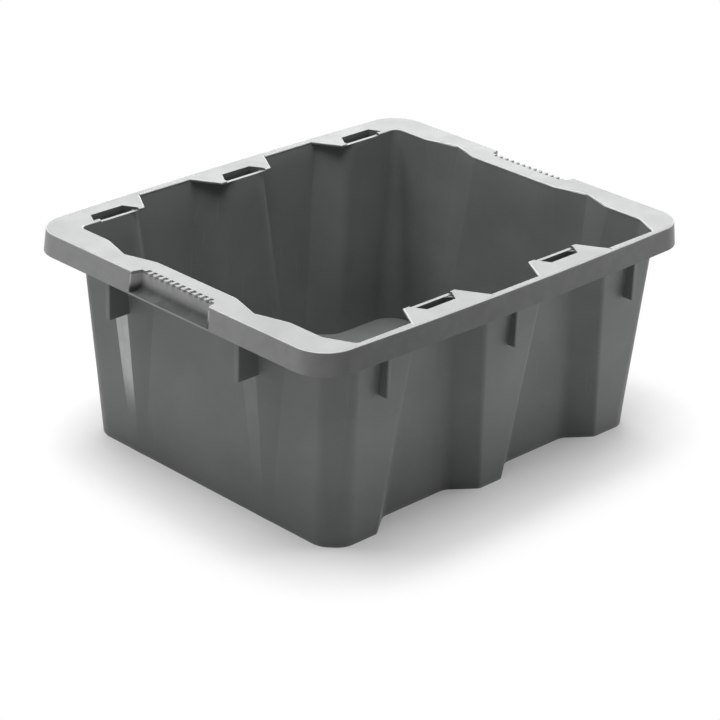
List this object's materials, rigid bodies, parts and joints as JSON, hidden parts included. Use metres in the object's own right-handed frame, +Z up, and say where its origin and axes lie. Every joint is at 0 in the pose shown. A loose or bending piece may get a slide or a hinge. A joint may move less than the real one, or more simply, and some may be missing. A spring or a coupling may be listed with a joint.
{
  "type": "nesting crate",
  "caption": "Open-topped stack-and-nest crate: drafted walls with set-in bays, flat skirted rim, end handles with grip teeth and stacking pockets over the bays.",
  "frame": {"origin": "centre of the crate's outline on the plane of the base", "axes": "+X along the crate towards one handle, +Y across it towards the wall with the middle bay, +Z up"},
  "size_m": [0.597, 0.495, 0.254],
  "materials": {
    "moulded_plastic": "grey moulded polyethylene, satin, lightly scuffed"
  },
  "bodies": {
    "root": {"back_bay_left": "moulded_plastic", "back_bay_middle": "moulded_plastic", "back_bay_right": "moulded_plastic", "back_column_left": "moulded_plastic", "back_column_right": "moulded_plastic", "corner_post_back_left": "moulded_plastic", "corner_post_back_right": "moulded_plastic", "corner_post_front_left": "moulded_plastic", "corner_post_front_right": "moulded_plastic", "end_panel_left": "moulded_plastic", "end_panel_right": "moulded_plastic", "end_ridge_back_left": "moulded_plastic", "end_ridge_back_right": "moulded_plastic", "end_ridge_front_left": "moulded_plastic", "end_ridge_front_right": "moulded_plastic", "end_side_back_left": "moulded_plastic", "end_side_back_right": "moulded_plastic", "end_side_front_left": "moulded_plastic", "end_side_front_right": "moulded_plastic", "floor_panel": "moulded_plastic", "front_bay_left": "moulded_plastic", "front_bay_right": "moulded_plastic", "front_column_left": "moulded_plastic", "front_column_middle": "moulded_plastic", "front_column_right": "moulded_plastic", "grip_teeth_left": "moulded_plastic", "grip_teeth_right": "moulded_plastic", "gussets_back": "moulded_plastic", "gussets_end_left": "moulded_plastic", "gussets_end_right": "moulded_plastic", "gussets_front": "moulded_plastic", "handle_left": "moulded_plastic", "handle_right": "moulded_plastic", "rim_back": "moulded_plastic", "rim_corner_back_left": "moulded_plastic", "rim_corner_back_right": "moulded_plastic", "rim_corner_front_left": "moulded_plastic", "rim_corner_front_right": "moulded_plastic", "rim_end_left": "moulded_plastic", "rim_end_right": "moulded_plastic", "rim_front": "moulded_plastic", "skirt_back": "moulded_plastic", "skirt_end_back_left": "moulded_plastic", "skirt_end_back_right": "moulded_plastic", "skirt_end_front_left": "moulded_plastic", "skirt_end_front_right": "moulded_plastic", "skirt_front": "moulded_plastic", "stack_tab_back_left": "moulded_plastic", "stack_tab_back_middle": "moulded_plastic", "stack_tab_back_right": "moulded_plastic", "stack_tab_front_left": "moulded_plastic", "stack_tab_front_right": "moulded_plastic"}
  },
  "joints": []
}
